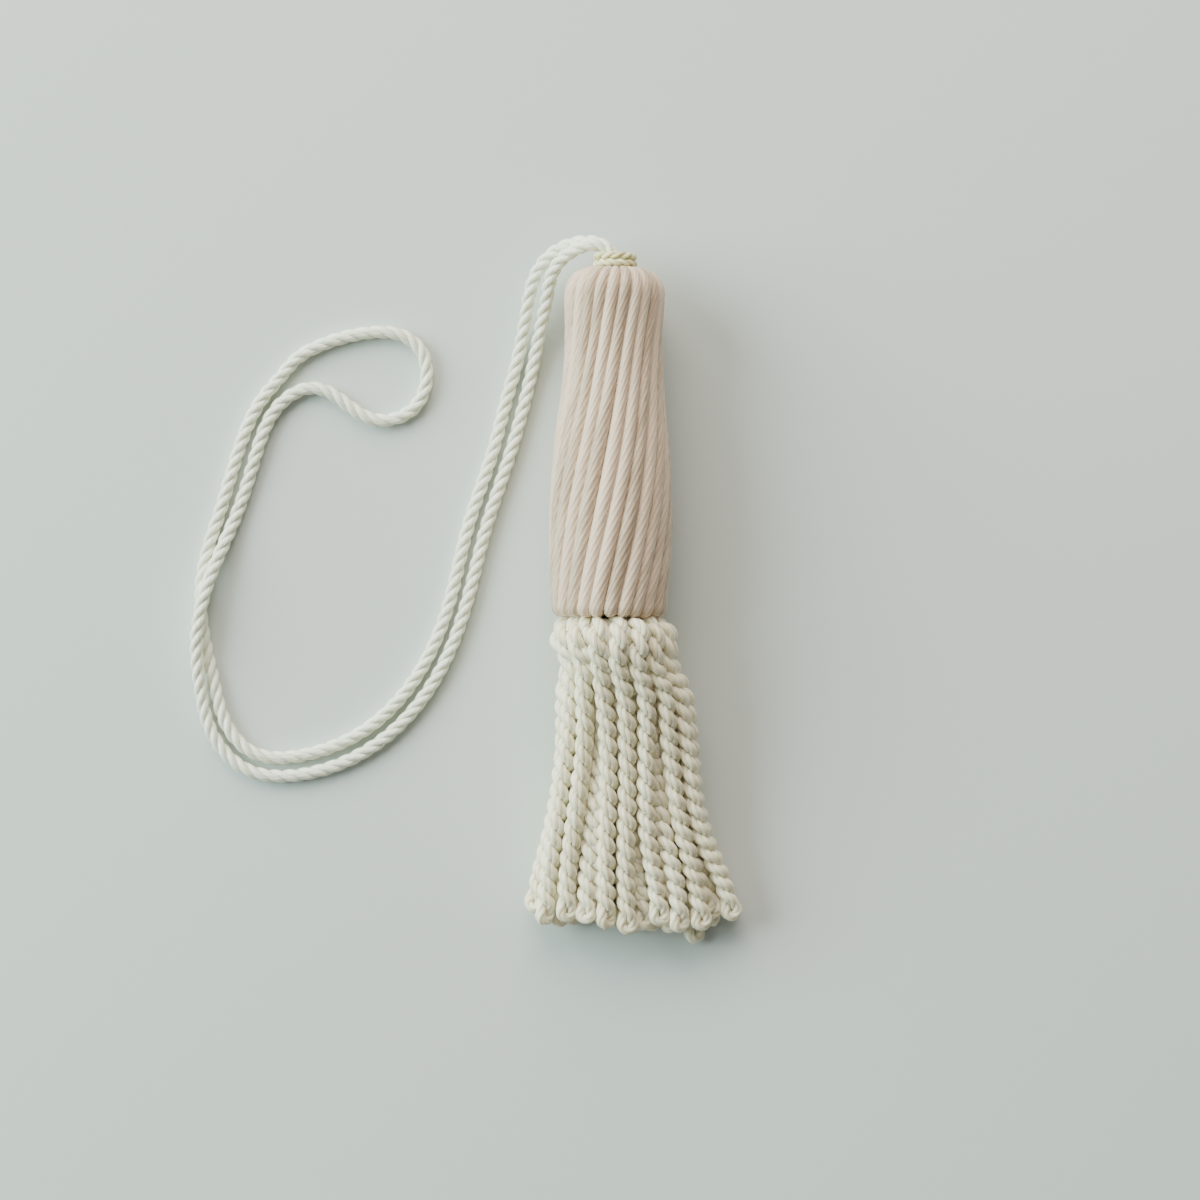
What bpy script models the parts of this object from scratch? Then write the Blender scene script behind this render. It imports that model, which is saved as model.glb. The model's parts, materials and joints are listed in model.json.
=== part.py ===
"""Light-pull tassel: wound wooden head, bullion skirt and a long doubled hanging cord.

Metres, +Z up. The tassel lies on its side along Y, head towards +Y, on the floor z = 0.
The origin is at the middle of the tassel's footprint; the hanging cord lies to its left.
"""

import math

import bpy
import bmesh
import numpy as np

# Head: a turned wooden mould under a wound cover. The outline is the crest of the cover's ribs.
HEAD_AXIS_X = -0.0064
HEAD_AXIS_Z = 0.0136
RIM_Y = -0.0044
HEAD_TOP_Y = 0.0717
HEAD_SIDE = (
    (-0.0021, 0.0128),
    (0.0040, 0.0132),
    (0.0120, 0.0135),
    (0.0185, 0.0136),
    (0.0260, 0.0133),
    (0.0345, 0.0126),
    (0.0430, 0.0116),
    (0.0500, 0.0110),
    (0.0570, 0.0108),
    (0.0645, 0.0111),
)
RIM_ROUNDING = 0.0011
UNDERSIDE_R = 0.0070
SHOULDER_R = 0.0056
COVER_THICKNESS = 0.0017
RIB_COUNT = 24
RIB_DEPTH = 0.0009
RIB_SLANT = math.radians(-56.0)
MOUTH_R = 0.0036
MOUTH_LINING = 0.00045
MOUTH_DEPTH = 0.0065
GAP = 0.0003

# Mould: plain bore for the cord, wide bore from below for the knot.
BORE_R = 0.00435
KNOT_BORE_R = 0.0062
KNOT_SHOULDER_Y = 0.0157

# Ruff: two rings of twisted cord stacked at the head's mouth.
RUFF_BASE_Y = HEAD_TOP_Y + GAP
RUFF_TOP_Y = 0.0750
RUFF_R = 0.0046
RUFF_GROOVE = 0.0007

# Hanging cord, doubled, with its stop knot and washer inside the head.
CORD_R = 0.0014
CORD_HALF_PITCH = 0.00155
CORD_START_Y = RUFF_TOP_Y + 1.5 * GAP
EXIT_DIRECTION = (-0.70, 0.72, 0.0)
WASHER_R = 0.0058
WASHER_HOLE_R = 0.0034
WASHER_TOP_Y = 0.0104
WASHER_THICKNESS = 0.0015
KNOT_R = 0.0051
KNOT_HALF_LENGTH = 0.0032
KNOT_Y = WASHER_TOP_Y - WASHER_THICKNESS - GAP - KNOT_HALF_LENGTH
TAIL_END_Y = -0.0010
# The cord's way up through the bore: sideways offset from the head's axis, and height.
TAIL_ROUTE = (
    (0.0, TAIL_END_Y),
    (0.0, 0.0300),
    (0.0, 0.0500),
    (0.0005, 0.0590),
    (0.0008, 0.0650),
    (0.00075, 0.0690),
    (0.0004, 0.0719),
    (-0.0003, 0.0739),
    (-0.0010, RUFF_TOP_Y),
)

# The middle of the doubled cord: x from the head's axis, y, height of the axis, half the
# distance between the two strands, and the turn of the pair (90 puts one above the other).
PAIR_ROUTE = (
    (-0.0013, CORD_START_Y, 0.0136, 0.00155, 90.0),
    (-0.0026, 0.0766, 0.0136, 0.00155, 86.0),
    (-0.0049, 0.0772, 0.0133, 0.00155, 76.0),
    (-0.0081, 0.0768, 0.0124, 0.00160, 62.0),
    (-0.0112, 0.0755, 0.0110, 0.00160, 48.0),
    (-0.0138, 0.0734, 0.0094, 0.00170, 35.0),
    (-0.0156, 0.0705, 0.0078, 0.00185, 24.0),
    (-0.0166, 0.0670, 0.0062, 0.00200, 14.0),
    (-0.0173, 0.0632, 0.0047, 0.00190, 7.0),
    (-0.0181, 0.0590, 0.0033, 0.00180, 3.0),
    (-0.0195, 0.0515, 0.0019, 0.00180, 0.0),
    (-0.0215, 0.0431, 0.0014, 0.00200, 0.0),
    (-0.0246, 0.0310, 0.0014, 0.00190, 0.0),
    (-0.0294, 0.0155, 0.0014, 0.00195, 0.0),
    (-0.0333, -0.0011, 0.0014, 0.00185, 0.0),
    (-0.0386, -0.0155, 0.0014, 0.00190, 0.0),
    (-0.0499, -0.0300, 0.0014, 0.00200, 0.0),
    (-0.0674, -0.0383, 0.0014, 0.00210, 0.0),
    (-0.0790, -0.0376, 0.0014, 0.00200, 0.0),
    (-0.0856, -0.0312, 0.0014, 0.00185, 0.0),
    (-0.0886, -0.0215, 0.0018, 0.00165, 20.0),
    (-0.0902, -0.0115, 0.0026, 0.00155, 60.0),
    (-0.0901, -0.0020, 0.0028, 0.00155, 105.0),
    (-0.0881, 0.0075, 0.0021, 0.00160, 150.0),
    (-0.0850, 0.0165, 0.0014, 0.00180, 180.0),
    (-0.0811, 0.0295, 0.0014, 0.00200, 180.0),
    (-0.0759, 0.0418, 0.0014, 0.00195, 180.0),
)
# The end loop, from one strand of the pair round to the other.
LOOP_ROUTE = (
    (-0.0733, 0.0481),
    (-0.0697, 0.0521),
    (-0.0651, 0.0547),
    (-0.0602, 0.0565),
    (-0.0551, 0.0576),
    (-0.0500, 0.0579),
    (-0.0456, 0.0567),
    (-0.0425, 0.0537),
    (-0.0413, 0.0495),
    (-0.0418, 0.0450),
    (-0.0440, 0.0412),
    (-0.0475, 0.0390),
    (-0.0517, 0.0384),
    (-0.0559, 0.0398),
    (-0.0597, 0.0424),
    (-0.0636, 0.0447),
    (-0.0674, 0.0452),
    (-0.0708, 0.0439),
)
LONGEST_STEP = 0.0084
SHORTEST_STEP = 0.0030
END_STEP = 0.0012
TURN_PER_STEP = math.radians(24.0)

# Skirt heading: the fringe's woven tape rolled under the rim, sewn into a collar.
HEADING_X = HEAD_AXIS_X + 0.0012
HEADING_R = 0.0132
HEADING_INNER_R = 0.0099
HEADING_TOP_Y = RIM_Y - GAP
HEADING_END_Y = -0.0106
HEADING_FLUTES = 24
HEADING_FLUTE_DEPTH = 0.0009
THREAD_R = 0.0004
THREAD_TURNS = 3
TAPE_THICKNESS = 0.0011
TAPE_PITCH = 0.0015
TAPE_OUTER_R = 0.0096 - 2 * THREAD_R
TAPE_TURNS = 2.6

# Skirt: bullion strands, each hung from the heading by the turned-over top of its loop.
STRAND_R = 0.0018
STRAND_SPACING = 0.00405
STRAND_RINGS = ((16, 0.0109, 0.0), (9, 0.0066, 10.0), (3, 0.0024, 30.0))
STRAND_HANG_Y = HEADING_END_Y - 0.0003 - STRAND_R
STRAND_END_Y = -0.0728
EDGE_LIFT = 0.0026
LONGEST_END_Y = -0.0761
UNEVENNESS = 0.0011
# How the skirt spreads on the floor: y, middle from the head's axis, half width, height.
SPREAD = (
    (STRAND_HANG_Y, 0.0020, 0.01275, 0.0256),
    (-0.0180, 0.0034, 0.0145, 0.0228),
    (-0.0260, 0.0043, 0.0154, 0.0200),
    (-0.0360, 0.0046, 0.0158, 0.0176),
    (-0.0450, 0.0046, 0.0168, 0.0164),
    (-0.0540, 0.0051, 0.0190, 0.0148),
    (-0.0620, 0.0059, 0.0222, 0.0130),
    (-0.0700, 0.0065, 0.0240, 0.0118),
    (LONGEST_END_Y, 0.0068, 0.0246, 0.0114),
)
SECTION_STEP = 0.0015
SETTLING_ROUNDS = 240
ARCH_ROUNDNESS = 0.7
STRAND_POINTS = 8

COLOURS = {
    "cover": ((0.72, 0.60, 0.52, 1.0), 0.55),
    "wood": ((0.62, 0.44, 0.27, 1.0), 0.6),
    "gold_cord": ((0.80, 0.76, 0.55, 1.0), 0.5),
    "cream_cord": ((0.78, 0.78, 0.70, 1.0), 0.55),
    "skirt": ((0.80, 0.77, 0.68, 1.0), 0.5),
    "tape": ((0.74, 0.70, 0.60, 1.0), 0.8),
    "leather_washer": ((0.35, 0.22, 0.14, 1.0), 0.8),
}


def clear_scene():
    for obj in list(bpy.data.objects):
        bpy.data.objects.remove(obj, do_unlink=True)


def material(name):
    found = bpy.data.materials.get(name)
    if found:
        return found
    colour, roughness = COLOURS[name]
    made = bpy.data.materials.new(name)
    made.use_nodes = True
    shader = made.node_tree.nodes["Principled BSDF"]
    shader.inputs["Base Color"].default_value = colour
    shader.inputs["Roughness"].default_value = roughness
    shader.inputs["Metallic"].default_value = 0.0
    return made


def joint_frame(name, location, parent=None):
    """An empty on a joint's axis; the pieces that move on the joint are its children."""
    empty = bpy.data.objects.new(name, None)
    empty.location = location
    if parent:
        empty.location = empty.location - parent.location
        empty.parent = parent
    bpy.context.scene.collection.objects.link(empty)
    return empty


def add_piece(name, data, colour, at, parent):
    """An object whose own origin is at a point of the model, hung under a joint's empty."""
    piece = bpy.data.objects.new(name, data)
    data.materials.append(material(colour))
    piece.parent = parent
    piece.location = np.array(at) - np.array(origin_of(parent))
    bpy.context.scene.collection.objects.link(piece)
    return piece


def origin_of(empty):
    """Where an empty stands, adding up the empties above it."""
    place = np.array(empty.location)
    if empty.parent:
        place = place + origin_of(empty.parent)
    return place


def finished_mesh(name, bm):
    bmesh.ops.recalc_face_normals(bm, faces=bm.faces)
    mesh = bpy.data.meshes.new(name)
    bm.to_mesh(mesh)
    bm.free()
    mesh.shade_smooth()
    mesh.set_sharp_from_angle(angle=math.radians(40))
    return mesh


def smooth_curve(knots, samples_per_span=24):
    """A natural cubic spline through the knots, by chord length, sampled finely."""
    knots = np.array(knots, float)
    chord = np.linalg.norm(np.diff(knots, axis=0), axis=1)
    at = np.concatenate([[0.0], np.cumsum(chord)])
    count = len(knots)
    system = np.eye(count)
    target = np.zeros_like(knots)
    for i in range(1, count - 1):
        before = chord[i - 1]
        after = chord[i]
        system[i, i - 1 : i + 2] = (before, 2 * (before + after), after)
        rise = (knots[i + 1] - knots[i]) / after - (knots[i] - knots[i - 1]) / before
        target[i] = 6 * rise
    bend = np.linalg.solve(system, target)
    points = []
    for i in range(count - 1):
        for t in np.linspace(0, 1, samples_per_span, endpoint=False):
            a = (1 - t) * knots[i] + t * knots[i + 1]
            pull = (1 - t) ** 3 - (1 - t)
            push = t**3 - t
            points.append(a + chord[i] ** 2 / 6 * (pull * bend[i] + push * bend[i + 1]))
    points.append(knots[-1])
    return np.array(points)


def turned(name, rows, columns, flutes=0, depths=None, slant=None, phase=0.0):
    """A closed ring turned about Y from a closed outline of (y, radius) rows.

    With flutes, each row's radius dips by its depth between the crests.
    """
    bm = bmesh.new()
    rings = []
    for index, (y, radius) in enumerate(rows):
        depth = depths[index] if depths else 0.0
        lead = slant[index] if slant else 0.0
        ring = []
        for column in range(columns):
            angle = 2 * math.pi * column / columns + phase
            dip = depth * (1 - math.cos(flutes * (angle - phase))) / 2 if flutes else 0.0
            r = radius - dip
            around = angle + lead
            ring.append(bm.verts.new((r * math.cos(around), y, r * math.sin(around))))
        rings.append(ring)
    for ring, following in zip(rings, rings[1:] + rings[:1]):
        for c in range(columns):
            d = (c + 1) % columns
            bm.faces.new((ring[c], ring[d], following[d], following[c]))
    return finished_mesh(name, bm)


def head_outline():
    """(y, radius) of the head from the edge under the rim, up the side, to the mouth."""
    side = smooth_curve(HEAD_SIDE, 2)
    rows = [(RIM_Y, UNDERSIDE_R), (RIM_Y, HEAD_SIDE[0][1] - RIM_ROUNDING)]
    rows.append((RIM_Y + 0.4 * RIM_ROUNDING, HEAD_SIDE[0][1] - 0.3 * RIM_ROUNDING))
    rows += [(y, r) for y, r in side[::2]]
    top_r = HEAD_SIDE[-1][1]
    shoulder_y = HEAD_TOP_Y - SHOULDER_R
    for step in range(1, 5):
        angle = math.radians(90.0 * step / 4)
        out = (top_r - SHOULDER_R) + SHOULDER_R * math.cos(angle)
        rows.append((shoulder_y + SHOULDER_R * math.sin(angle), out))
    return rows


def offset_outline(rows, distance):
    """The outline moved inwards, square to itself."""
    points = np.array(rows)
    along = np.gradient(points, axis=0)
    along[0] = points[1] - points[0]
    along[-1] = (0.0, -1.0)
    along = along / np.linalg.norm(along, axis=1)[:, None]
    inward = np.column_stack([-along[:, 1], along[:, 0]]) * -1.0
    return [tuple(p) for p in points + distance * inward]


def make_cover(parent):
    """The wound cover: a ribbed shell from under the rim, over the head, into its mouth."""
    outer = head_outline()
    inner = offset_outline(outer, COVER_THICKNESS)
    del inner[1]
    lip_y = HEAD_TOP_Y - 0.0004
    mouth_end = HEAD_TOP_Y - MOUTH_DEPTH
    lining_r = MOUTH_R + MOUTH_LINING
    mouth = [(lip_y, MOUTH_R), (mouth_end, MOUTH_R), (mouth_end, lining_r)]
    mouth.append((inner[-1][0] - 0.0002, lining_r))
    rows = outer + mouth + inner[::-1]
    depths = [RIB_DEPTH] * len(outer) + [0.0] * (len(mouth) + len(inner))
    depths[0] = 0.0
    depths[1] = 0.3 * RIB_DEPTH
    depths[len(outer) - 1] = 0.4 * RIB_DEPTH
    slant = [RIB_SLANT * (y - RIM_Y) / (HEAD_TOP_Y - RIM_Y) for y, r in rows]
    columns = 2 * RIB_COUNT
    mesh = turned("cover_winding", rows, columns, RIB_COUNT, depths, slant, -math.pi / 2)
    axis_point = (HEAD_AXIS_X, 0.0, HEAD_AXIS_Z)
    return add_piece("cover_winding", mesh, "cover", axis_point, parent)


def make_mould(parent):
    outer = offset_outline(head_outline(), COVER_THICKNESS + GAP)
    bottom_y = outer[0][0]
    side = outer[2:]
    rows = [(bottom_y, KNOT_BORE_R), (bottom_y, side[0][1] - RIM_ROUNDING)] + side
    rows += [(side[-1][0], BORE_R), (KNOT_SHOULDER_Y, BORE_R)]
    rows += [(KNOT_SHOULDER_Y, KNOT_BORE_R)]
    mesh = turned("wooden_mould", rows, 28)
    return add_piece("wooden_mould", mesh, "wood", (HEAD_AXIS_X, 0.0, HEAD_AXIS_Z), parent)


def make_ruff(parent):
    """Two rings of cord, one on the other, with a hole for the doubled cord."""
    height = (RUFF_TOP_Y - RUFF_BASE_Y) / 2
    rows = [(RUFF_BASE_Y, MOUTH_R)]
    for ring in range(2):
        for part in range(4):
            bulge = math.sin(math.pi * (part + 0.5) / 4)
            y = RUFF_BASE_Y + height * (ring + (part + 0.5) / 4)
            rows.append((y, RUFF_R - RUFF_GROOVE * (1 - bulge)))
    rows.append((RUFF_TOP_Y, MOUTH_R + 0.0002))
    mesh = turned("ruff", rows, 24)
    return add_piece("ruff", mesh, "gold_cord", (HEAD_AXIS_X, 0.0, HEAD_AXIS_Z), parent)


def make_washer(parent):
    low = WASHER_TOP_Y - WASHER_THICKNESS
    rows = [(low, WASHER_HOLE_R), (low, WASHER_R), (WASHER_TOP_Y, WASHER_R)]
    rows.append((WASHER_TOP_Y, WASHER_HOLE_R))
    mesh = turned("stop_washer", rows, 28)
    washer_at = (HEAD_AXIS_X, 0.0, HEAD_AXIS_Z)
    return add_piece("stop_washer", mesh, "leather_washer", washer_at, parent)


def tube_curve(name, points, radius, sizes=None, resolution=2):
    """A round tube along a polyline; sizes scales the radius at each point."""
    data = bpy.data.curves.new(name, "CURVE")
    data.dimensions = "3D"
    data.bevel_depth = radius
    data.bevel_resolution = resolution
    data.use_fill_caps = True
    spline = data.splines.new("POLY")
    spline.points.add(len(points) - 1)
    for index, (spline_point, place) in enumerate(zip(spline.points, points)):
        spline_point.co = (*place, 1.0)
        spline_point.radius = sizes[index] if sizes else 1.0
    spline.use_smooth = True
    return data


def guide(name, data, at, parent):
    """A shape that only serves a Boolean."""
    helper = add_piece(name, data, "cream_cord", at, parent)
    helper.hide_render = True
    helper.display_type = "WIRE"
    return helper


def make_cord_tail(parent):
    """The cord's two strands down through the bore, joined by the stop knot."""
    at = (HEAD_AXIS_X, 0.0, HEAD_AXIS_Z)
    route = smooth_curve(TAIL_ROUTE, 3)
    bm = bmesh.new()
    bmesh.ops.create_uvsphere(bm, u_segments=16, v_segments=9, radius=1.0)
    for vert in bm.verts:
        across = KNOT_R * (1 - 0.05 * math.cos(3 * math.atan2(vert.co.y, vert.co.x)))
        vert.co = (across * vert.co.x, KNOT_Y + KNOT_HALF_LENGTH * vert.co.z, across * vert.co.y)
    knot = add_piece("cord_tail", finished_mesh("cord_tail", bm), "cream_cord", at, parent)
    for side in (-1, 1):
        strand = [(x, y, side * CORD_HALF_PITCH) for x, y in route]
        strand_data = tube_curve(f"tail_strand_{side}", strand, CORD_R)
        helper = guide(f"tail_strand_{side}", strand_data, at, parent)
        join = knot.modifiers.new(f"join_{side}", "BOOLEAN")
        join.operation = "UNION"
        join.solver = "EXACT"
        join.object = as_mesh_object(helper)
    return knot


def as_mesh_object(curve_object):
    """Turns a helper's curve into a mesh, because a Boolean takes only meshes."""
    depsgraph = bpy.context.evaluated_depsgraph_get()
    mesh = bpy.data.meshes.new_from_object(curve_object.evaluated_get(depsgraph))
    name = curve_object.name
    parent = curve_object.parent
    place = curve_object.location.copy()
    bpy.data.objects.remove(curve_object, do_unlink=True)
    helper = bpy.data.objects.new(name, mesh)
    helper.parent = parent
    helper.location = place
    helper.hide_render = True
    helper.display_type = "WIRE"
    bpy.context.scene.collection.objects.link(helper)
    return helper


def pair_side(side):
    """One strand of the doubled cord, offset from the pair's middle by the pair's turn."""
    middle = np.array([row[:3] for row in PAIR_ROUTE])
    along = np.gradient(middle, axis=0)
    along[0] = EXIT_DIRECTION
    across = np.column_stack([-along[:, 1], along[:, 0], np.zeros(len(middle))])
    across = across / np.linalg.norm(across, axis=1)[:, None]
    half = np.array([row[3] for row in PAIR_ROUTE])
    turn = np.radians([row[4] for row in PAIR_ROUTE])
    up = np.array([0.0, 0.0, 1.0])
    offset = np.cos(turn)[:, None] * across + np.sin(turn)[:, None] * up
    return middle + side * half[:, None] * offset


def cord_route():
    """The whole free cord: out along one strand, round the end loop, back along the other."""
    out = pair_side(-1)
    back = pair_side(1)[::-1]
    loop = np.array([(x, y, CORD_R) for x, y in LOOP_ROUTE])
    route = smooth_curve(np.vstack([out, loop, back]))
    return route + np.array([HEAD_AXIS_X, 0.0, 0.0])


def thinned(route):
    """Keeps a point where the route has run or turned enough since the last one."""
    from_start = np.linalg.norm(route - route[0], axis=1)
    from_end = np.linalg.norm(route - route[-1], axis=1)
    first = int(np.argmax(from_start > END_STEP))
    last = len(route) - 1 - int(np.argmax(from_end[::-1] > END_STEP))
    kept = [0, first]
    heading = route[first + 1] - route[first]
    for i in range(first + 1, last):
        run = np.linalg.norm(route[i] - route[kept[-1]])
        ahead = route[i + 1] - route[i]
        cosine = np.dot(heading, ahead) / np.linalg.norm(heading) / np.linalg.norm(ahead)
        turned_enough = math.acos(min(1.0, cosine)) > TURN_PER_STEP and run > SHORTEST_STEP
        if run > LONGEST_STEP or turned_enough:
            kept.append(i)
            heading = ahead
    if np.linalg.norm(route[last] - route[kept[-1]]) < SHORTEST_STEP:
        kept.pop()
    kept += [last, len(route) - 1]
    return route[kept]


def make_hanging_cord(parent):
    at = np.array((HEAD_AXIS_X, CORD_START_Y, HEAD_AXIS_Z))
    points = thinned(cord_route()) - at
    data = tube_curve("hanging_cord", points, CORD_R)
    return add_piece("hanging_cord", data, "cream_cord", at, parent)


def make_heading(parent):
    """The stitched collar round the rolled tape."""
    middle_y = (HEADING_TOP_Y + HEADING_END_Y) / 2
    rows = [
        (HEADING_TOP_Y, HEADING_INNER_R),
        (HEADING_TOP_Y, HEADING_R - 0.0020),
        (HEADING_TOP_Y - 0.0010, HEADING_R - 0.0007),
        (middle_y, HEADING_R),
        (HEADING_END_Y + 0.0012, HEADING_R - 0.0002),
        (HEADING_END_Y, HEADING_R - 0.0010),
        (HEADING_END_Y, HEADING_INNER_R),
    ]
    dips = [0.0] + [HEADING_FLUTE_DEPTH] * 5 + [0.0]
    mesh = turned("skirt_heading", rows, 2 * HEADING_FLUTES, HEADING_FLUTES, dips)
    return add_piece("skirt_heading", mesh, "skirt", (HEADING_X, 0.0, HEAD_AXIS_Z), parent)


def make_thread(parent):
    """Turns of sewing thread laid side by side round the rolled tape."""
    outer_r = HEADING_INNER_R - GAP / 2
    inner_r = outer_r - 2 * THREAD_R + 0.0001
    first_y = (HEADING_TOP_Y + HEADING_END_Y) / 2 - THREAD_TURNS * THREAD_R
    rows = [(first_y, inner_r)]
    for turn in range(THREAD_TURNS):
        for part in (0.12, 0.5, 0.88):
            bulge = math.sin(math.pi * part)
            y = first_y + 2 * THREAD_R * (turn + part)
            rows.append((y, outer_r - THREAD_R * (1 - bulge)))
    rows.append((first_y + 2 * THREAD_R * THREAD_TURNS, inner_r))
    mesh = turned("heading_thread", rows, 24)
    return add_piece("heading_thread", mesh, "cream_cord", (HEADING_X, 0.0, HEAD_AXIS_Z), parent)


def make_tape(parent):
    """The fringe's woven tape, rolled into a spiral about the cord's end."""
    bm = bmesh.new()
    steps = int(TAPE_TURNS * 22)
    low = HEADING_END_Y + 0.0002
    high = HEADING_TOP_Y - 0.0002
    rings = []
    for step in range(steps + 1):
        turns = TAPE_TURNS * step / steps
        angle = 2 * math.pi * turns
        outer = TAPE_OUTER_R - TAPE_PITCH * turns
        corners = ((outer, low), (outer, high), (outer - TAPE_THICKNESS, high))
        corners += ((outer - TAPE_THICKNESS, low),)
        ring = []
        for r, y in corners:
            ring.append(bm.verts.new((r * math.cos(angle), y, r * math.sin(angle))))
        rings.append(ring)
    for ring, following in zip(rings, rings[1:]):
        for c in range(4):
            d = (c + 1) % 4
            bm.faces.new((ring[c], ring[d], following[d], following[c]))
    bm.faces.new(rings[0])
    bm.faces.new(rings[-1])
    mesh = finished_mesh("heading_tape", bm)
    return add_piece("heading_tape", mesh, "tape", (HEADING_X, 0.0, HEAD_AXIS_Z), parent)


def settled(points, middle, half_width, height, spacing):
    """Pushes strands apart to their spacing, inside the skirt's low arch on the floor."""
    tallest = SPREAD[0][3]
    flattened = (tallest - height) / (tallest - SPREAD[-1][3])
    floor = STRAND_R + GAP / 2
    reach = half_width - STRAND_R
    rise = height - 2 * STRAND_R
    for _ in range(SETTLING_ROUNDS):
        delta = points[:, None, :] - points[None, :, :]
        distance = np.linalg.norm(delta, axis=2)
        np.fill_diagonal(distance, 1.0)
        lack = np.clip(spacing - distance, 0.0, None)
        push = (delta / distance[:, :, None]) * (0.4 * lack)[:, :, None]
        points = points + push.sum(axis=1)
        out = np.clip((points[:, 0] - middle) / reach, -1.0, 1.0)
        arch = floor + rise * np.sqrt(1.0 - ARCH_ROUNDNESS * flattened * out**2)
        points[:, 0] = middle + reach * out
        points[:, 1] = np.clip(points[:, 1], floor, arch)
    return points


def skirt_sections():
    """Where every strand's axis is, section by section down the skirt: y, then (x, z)s."""
    spread = np.array(SPREAD)
    levels = np.arange(STRAND_HANG_Y, LONGEST_END_Y - SECTION_STEP, -SECTION_STEP)
    shape = {}
    for column, key in ((1, "middle"), (2, "half"), (3, "height")):
        shape[key] = np.interp(-levels, -spread[:, 0], spread[:, column])
    start = []
    for count, ring_r, first in STRAND_RINGS:
        for i in range(count):
            angle = math.radians(first) + 2 * math.pi * i / count
            x = HEAD_AXIS_X + shape["middle"][0] + ring_r * math.cos(angle)
            start.append((x, HEAD_AXIS_Z + ring_r * math.sin(angle)))
    sections = [np.array(start)]
    floor = STRAND_R + GAP / 2
    for k in range(1, len(levels)):
        last = sections[-1]
        middle = HEAD_AXIS_X + shape["middle"][k]
        last_middle = HEAD_AXIS_X + shape["middle"][k - 1]
        wider = shape["half"][k] / shape["half"][k - 1]
        lower = shape["height"][k] / shape["height"][k - 1]
        moved = np.column_stack(
            [
                middle + (last[:, 0] - last_middle) * wider,
                floor + (last[:, 1] - floor) * lower,
            ]
        )
        flare = abs(shape["half"][k] - shape["half"][k - 1]) / SECTION_STEP
        spacing = STRAND_SPACING * math.sqrt(1 + flare**2)
        half = shape["half"][k]
        sections.append(settled(moved, middle, half, shape["height"][k], spacing))
    sections = np.array(sections)
    for _ in range(3):
        sections[1:-1] = (sections[:-2] + 2 * sections[1:-1] + sections[2:]) / 4
    return levels, sections


def strand_end(index, end_x):
    """How far down a strand hangs: edges a little shorter, each a little uneven."""
    spread = (end_x - HEAD_AXIS_X - SPREAD[-1][1]) / SPREAD[-1][2]
    uneven = UNEVENNESS * math.sin(2.4 * index + 0.7)
    return STRAND_END_Y + EDGE_LIFT * spread**2 + uneven


def strand_places():
    """For each strand: its number, and the points of its axis from hinge to end."""
    levels, sections = skirt_sections()
    last = sections[-1]
    near_right = np.abs(last[:, 0] - (HEAD_AXIS_X + 0.0180)) + 0.5 * last[:, 1]
    longest = int(np.argmin(near_right))
    places = []
    for index in range(sections.shape[1]):
        end_y = strand_end(index, last[index, 0])
        if index == longest:
            end_y = LONGEST_END_Y
        stops = np.linspace(STRAND_HANG_Y, end_y + STRAND_R, STRAND_POINTS)
        xs = np.interp(-stops, -levels, sections[:, index, 0])
        zs = np.interp(-stops, -levels, sections[:, index, 1])
        places.append(np.column_stack([xs, stops, zs]))
    return places


def rounded_ends(points, radius):
    """Adds points beyond both ends, with shrinking sizes, so the tube ends in half spheres."""
    start_dir = (points[0] - points[1]) / np.linalg.norm(points[0] - points[1])
    end_dir = (points[-1] - points[-2]) / np.linalg.norm(points[-1] - points[-2])
    caps = [(math.sin(math.radians(a)), math.cos(math.radians(a))) for a in (80, 45)]
    before = [points[0] + start_dir * radius * rise for rise, size in caps]
    after = [points[-1] + end_dir * radius * rise for rise, size in caps[::-1]]
    sizes = [size for rise, size in caps] + [1.0] * len(points)
    sizes += [size for rise, size in caps[::-1]]
    return np.vstack([before, points, after]), sizes


def make_strands(parent):
    for index, places in enumerate(strand_places()):
        ring = "outer" if index < STRAND_RINGS[0][0] else "inner"
        name = f"strand_{ring}_{index + 1:02d}"
        points, sizes = rounded_ends(places - places[0], STRAND_R)
        data = tube_curve(name, points, STRAND_R, sizes, resolution=1)
        add_piece(name, data, "skirt", places[0], parent)


def main():
    clear_scene()
    axis_point = (HEAD_AXIS_X, 0.0, HEAD_AXIS_Z)
    cord = joint_frame("cord_frame", (0.0, 0.0, 0.0))
    swivel = joint_frame("swivel_frame", axis_point, cord)
    head = joint_frame("head_frame", axis_point, cord)
    make_hanging_cord(cord)
    make_cord_tail(cord)
    make_washer(swivel)
    make_mould(head)
    make_cover(head)
    make_ruff(head)
    make_heading(head)
    make_thread(head)
    make_tape(head)
    make_strands(head)
    bpy.context.view_layer.update()


main()
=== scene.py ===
"""Looks of a light-pull tassel: corded head, twisted ruff, bullion skirt, doubled hanging cord."""

import json
import math

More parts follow.
